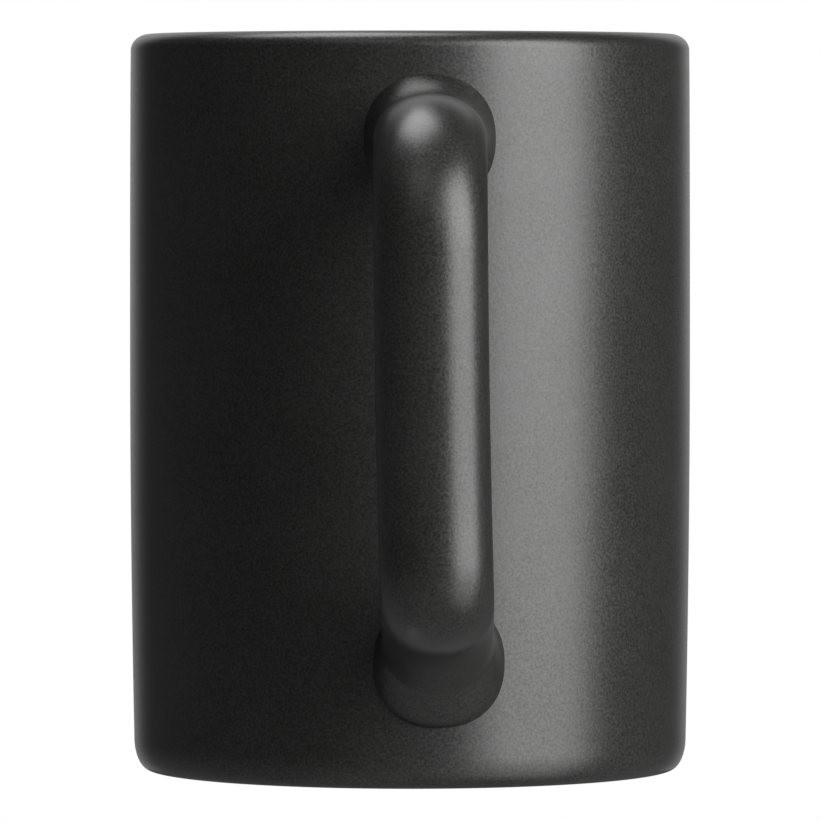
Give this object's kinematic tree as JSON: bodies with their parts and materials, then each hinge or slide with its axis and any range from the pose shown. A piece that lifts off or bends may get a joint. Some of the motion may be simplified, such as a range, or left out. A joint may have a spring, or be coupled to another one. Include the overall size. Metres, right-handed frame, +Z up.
{
  "type": "ceramic mug",
  "caption": "Tall straight-sided mug with a rounded lip, a soft lower edge and an upright loop handle on flared pads, glazed inside and out over a bare foot ring.",
  "frame": {"origin": "middle of the foot on the cup's axis, in the plane of the surface that the mug stands on; the recessed underside lies 0.8 mm above it", "axes": "+Z up along the cup's axis towards the rim, -Y towards the handle, +X to the right as the handle is looked at"},
  "size_m": [0.08, 0.114, 0.105],
  "materials": {
    "bare_stoneware": "fired and unglazed",
    "handle_stoneware": "fired and unglazed",
    "joining_slip": "fired and unglazed",
    "matt_black_glaze": "matt with a very fine grain",
    "satin_black_liner": "satin"
  },
  "bodies": {
    "root": {"cup_body": "bare_stoneware", "handle": "handle_stoneware", "upper_slip_joint": "joining_slip", "lower_slip_joint": "joining_slip", "outer_glaze": "matt_black_glaze", "handle_glaze": "matt_black_glaze", "inner_glaze": "satin_black_liner"}
  },
  "joints": []
}
